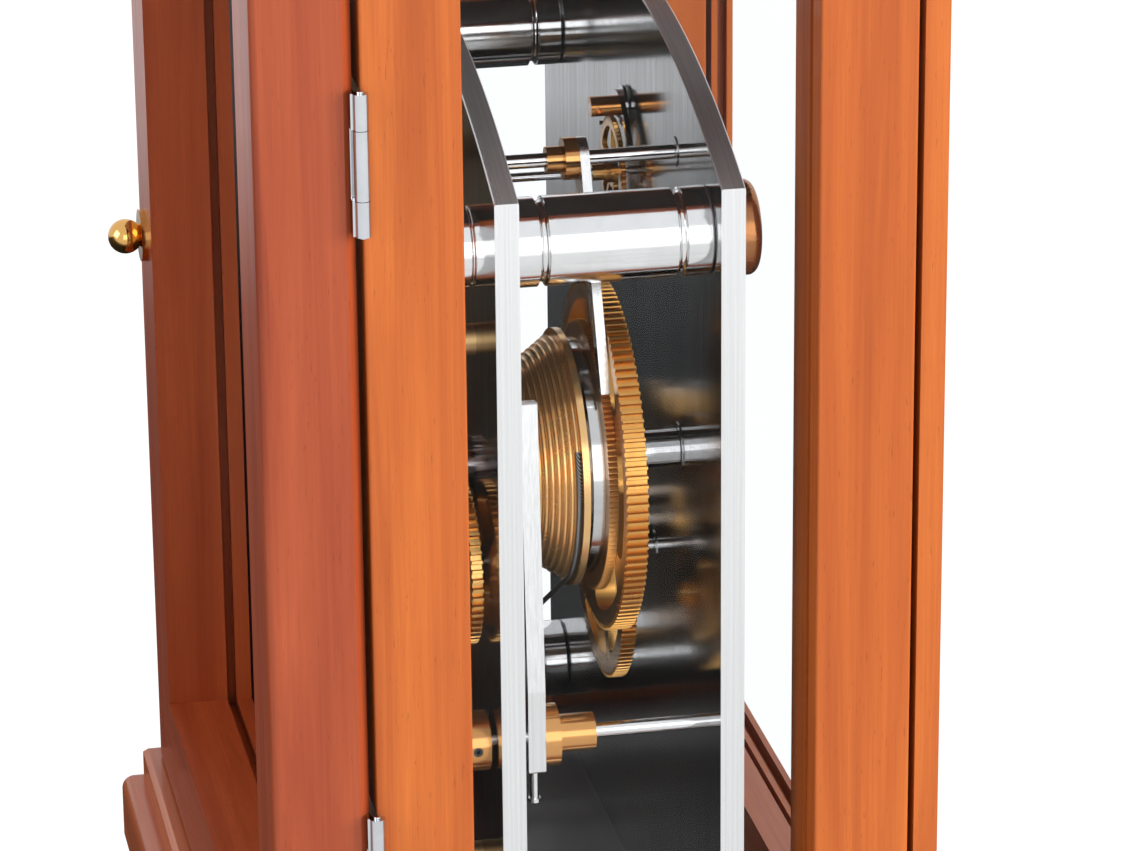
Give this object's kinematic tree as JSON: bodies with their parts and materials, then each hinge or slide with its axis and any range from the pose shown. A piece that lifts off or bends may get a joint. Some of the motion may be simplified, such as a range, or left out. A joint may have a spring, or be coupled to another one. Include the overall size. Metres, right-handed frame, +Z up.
{
  "type": "mantel clock",
  "caption": "Mantel clock in a glazed wooden case with a hinged front door, a round dial, and a fusee movement between arched steel plates with a short pendulum",
  "frame": {"origin": "centre of the plinth's footprint, on the surface that the feet stand on", "axes": "X to the right as one faces the dial, Y from the dial to the back, Z up"},
  "size_m": [0.228, 0.1532, 0.314],
  "materials": {
    "plinth": "satin lacquered",
    "feet": "matt",
    "front_posts": "satin lacquered",
    "rear_posts": "satin lacquered",
    "bottom_rails": "satin lacquered",
    "top_rails": "satin lacquered",
    "top_board": "satin lacquered",
    "side_glasses": "polished",
    "door_frame": "satin lacquered",
    "door_glass": "polished",
    "door_knob": "polished",
    "door_hinge_leaves": "polished nickel",
    "case_hinge_leaves": "polished nickel",
    "hinge_pins": "polished nickel",
    "rear_door_frame": "satin lacquered",
    "rear_door_glass": "polished",
    "rear_hinge_leaves": "polished nickel",
    "seat_board": "satin lacquered",
    "front_plate": "vertical brushed",
    "back_plate": "vertical brushed",
    "plate_pillars": "mirror polished",
    "pillar_nuts": "polished",
    "front_nuts": "mirror polished",
    "dial_plate": "satin",
    "chapter_ring": "silvered, satin",
    "hour_hand": "blued",
    "minute_hand": "blued",
    "cannon_pinion": "polished",
    "hour_wheel": "polished",
    "minute_wheel": "polished",
    "reserve_wheel": "polished",
    "reserve_indicator": "polished",
    "reserve_hand": "blued",
    "fusee_cone": "polished",
    "fusee_arbor": "polished",
    "fusee_drum": "polished",
    "maintaining_ratchet": "satin",
    "great_wheel": "polished",
    "maintaining_spring": "polished",
    "detent_arbor": "polished",
    "detent_collet": "polished",
    "detent_lever": "satin",
    "stop_arbor": "polished",
    "stop_hub": "polished",
    "stop_lever": "satin",
    "stop_collar": "polished",
    "barrel": "polished",
    "barrel_arbor": "polished",
    "mainspring": "blued",
    "barrel_ratchet": "satin",
    "fusee_cable": "braided",
    "second_wheel": "polished",
    "centre_wheel": "polished",
    "third_wheel": "polished",
    "escape_wheel": "polished",
    "pallet_arbor": "polished",
    "anchor": "satin",
    "pendulum_rod": "satin",
    "pendulum_bob": "polished",
    "back_cock": "satin"
  },
  "bodies": {
    "case": {"plinth": "plinth", "feet": "feet", "front_posts": "front_posts", "rear_posts": "rear_posts", "bottom_rails": "bottom_rails", "top_rails": "top_rails", "top_board": "top_board", "side_glasses": "side_glasses", "seat_board": "seat_board", "case_hinge_leaves": "case_hinge_leaves", "hinge_pins": "hinge_pins", "front_plate": "front_plate", "back_plate": "back_plate", "plate_pillars": "plate_pillars", "pillar_nuts": "pillar_nuts", "front_nuts": "front_nuts", "dial_plate": "dial_plate", "chapter_ring": "chapter_ring", "barrel_arbor": "barrel_arbor", "barrel_ratchet": "barrel_ratchet", "mainspring": "mainspring", "fusee_cable": "fusee_cable", "back_cock": "back_cock"},
    "front_door": {"door_frame": "door_frame", "door_glass": "door_glass", "door_knob": "door_knob", "door_hinge_leaves": "door_hinge_leaves"},
    "rear_door": {"rear_door_frame": "rear_door_frame", "rear_door_glass": "rear_door_glass", "rear_hinge_leaves": "rear_hinge_leaves"},
    "fusee": {"fusee_cone": "fusee_cone", "fusee_arbor": "fusee_arbor", "fusee_drum": "fusee_drum"},
    "great_train": {"great_wheel": "great_wheel", "maintaining_ratchet": "maintaining_ratchet", "maintaining_spring": "maintaining_spring"},
    "spring_barrel": {"barrel": "barrel"},
    "reserve_train": {"reserve_wheel": "reserve_wheel"},
    "reserve_display": {"reserve_indicator": "reserve_indicator", "reserve_hand": "reserve_hand"},
    "second_train": {"second_wheel": "second_wheel"},
    "centre_train": {"centre_wheel": "centre_wheel"},
    "third_train": {"third_wheel": "third_wheel"},
    "escape_train": {"escape_wheel": "escape_wheel"},
    "pendulum": {"pallet_arbor": "pallet_arbor", "anchor": "anchor", "pendulum_rod": "pendulum_rod", "pendulum_bob": "pendulum_bob"},
    "detent": {"detent_arbor": "detent_arbor", "detent_collet": "detent_collet", "detent_lever": "detent_lever"},
    "stop_work": {"stop_arbor": "stop_arbor", "stop_hub": "stop_hub", "stop_lever": "stop_lever", "stop_collar": "stop_collar"},
    "minutes": {"cannon_pinion": "cannon_pinion", "minute_hand": "minute_hand"},
    "minute_train": {"minute_wheel": "minute_wheel"},
    "hours": {"hour_wheel": "hour_wheel", "hour_hand": "hour_hand"}
  },
  "joints": [
    {"name": "door_hinge", "type": "hinge", "parent": "case", "child": "front_door", "pos_m": [0.1055, -0.04735, 0.165], "axis": [0, 0, 1], "range_deg": [0, 110]},
    {"name": "rear_door_hinge", "type": "hinge", "parent": "case", "child": "rear_door", "pos_m": [-0.1055, 0.06215, 0.165], "axis": [0, 0, 1], "range_deg": [0, 100]},
    {"name": "fusee_turn", "type": "hinge", "parent": "case", "child": "fusee", "pos_m": [0.05164, 0, 0.1575], "axis": [0, 1, 0], "range_deg": [-4320, 0]},
    {"name": "barrel_turn", "type": "hinge", "parent": "case", "child": "spring_barrel", "pos_m": [-0.046, 0, 0.1048], "axis": [0, 1, 0], "range_deg": [-3756, 0]},
    {"name": "reserve_wheel_turn", "type": "hinge", "parent": "case", "child": "reserve_train", "pos_m": [0.0664, 0, 0.14173], "axis": [0, 1, 0], "range_deg": [0, 1440]},
    {"name": "reserve_hand_turn", "type": "hinge", "parent": "case", "child": "reserve_display", "pos_m": [0.05197, 0, 0.1273], "axis": [0, 1, 0], "range_deg": [-192.1, 0]},
    {"name": "third_wheel_turn", "type": "hinge", "parent": "case", "child": "third_train", "pos_m": [-0.00215, 0, 0.17022], "axis": [0, 1, 0], "continuous": true},
    {"name": "centre_wheel_turn", "type": "hinge", "parent": "case", "child": "centre_train", "pos_m": [0, 0, 0.1393], "axis": [0, 1, 0], "continuous": true},
    {"name": "second_wheel_turn", "type": "hinge", "parent": "case", "child": "second_train", "pos_m": [0.0271, 0, 0.12642], "axis": [0, 1, 0], "continuous": true},
    {"name": "great_wheel_turn", "type": "hinge", "parent": "case", "child": "great_train", "pos_m": [0.05164, 0, 0.1575], "axis": [0, 1, 0], "continuous": true},
    {"name": "escape_wheel_turn", "type": "hinge", "parent": "case", "child": "escape_train", "pos_m": [0, 0, 0.2019], "axis": [0, 1, 0], "continuous": true},
    {"name": "pendulum_swing", "type": "hinge", "parent": "case", "child": "pendulum", "pos_m": [0, 0, 0.2163], "axis": [0, 1, 0], "range_deg": [-3.5, 3.5]},
    {"name": "detent_lift", "type": "hinge", "parent": "case", "child": "detent", "pos_m": [0.04883, 0, 0.2207], "axis": [0, 1, 0], "range_deg": [-8, 0]},
    {"name": "stop_lift", "type": "hinge", "parent": "case", "child": "stop_work", "pos_m": [0.0778, 0, 0.107], "axis": [0, 1, 0], "range_deg": [0, 3]},
    {"name": "minute_hand_turn", "type": "hinge", "parent": "case", "child": "minutes", "pos_m": [0, 0, 0.1393], "axis": [0, 1, 0], "continuous": true},
    {"name": "minute_wheel_turn", "type": "hinge", "parent": "case", "child": "minute_train", "pos_m": [-0.01527, 0, 0.12402], "axis": [0, 1, 0], "continuous": true},
    {"name": "hour_hand_turn", "type": "hinge", "parent": "case", "child": "hours", "pos_m": [0, 0, 0.1393], "axis": [0, 1, 0], "continuous": true}
  ],
  "couplings": [
    {"joint": "barrel_turn", "follows": "fusee_turn", "ratio": 0.86897},
    {"joint": "reserve_wheel_turn", "follows": "fusee_turn", "ratio": -0.33333},
    {"joint": "reserve_hand_turn", "follows": "fusee_turn", "ratio": 0.044444},
    {"joint": "centre_wheel_turn", "follows": "third_wheel_turn", "ratio": -0.10714},
    {"joint": "second_wheel_turn", "follows": "third_wheel_turn", "ratio": 0.011905},
    {"joint": "great_wheel_turn", "follows": "third_wheel_turn", "ratio": -0.0011905},
    {"joint": "escape_wheel_turn", "follows": "third_wheel_turn", "ratio": -9.5833},
    {"joint": "minute_wheel_turn", "follows": "minute_hand_turn", "ratio": -0.33333},
    {"joint": "hour_hand_turn", "follows": "minute_hand_turn", "ratio": 0.083333}
  ]
}
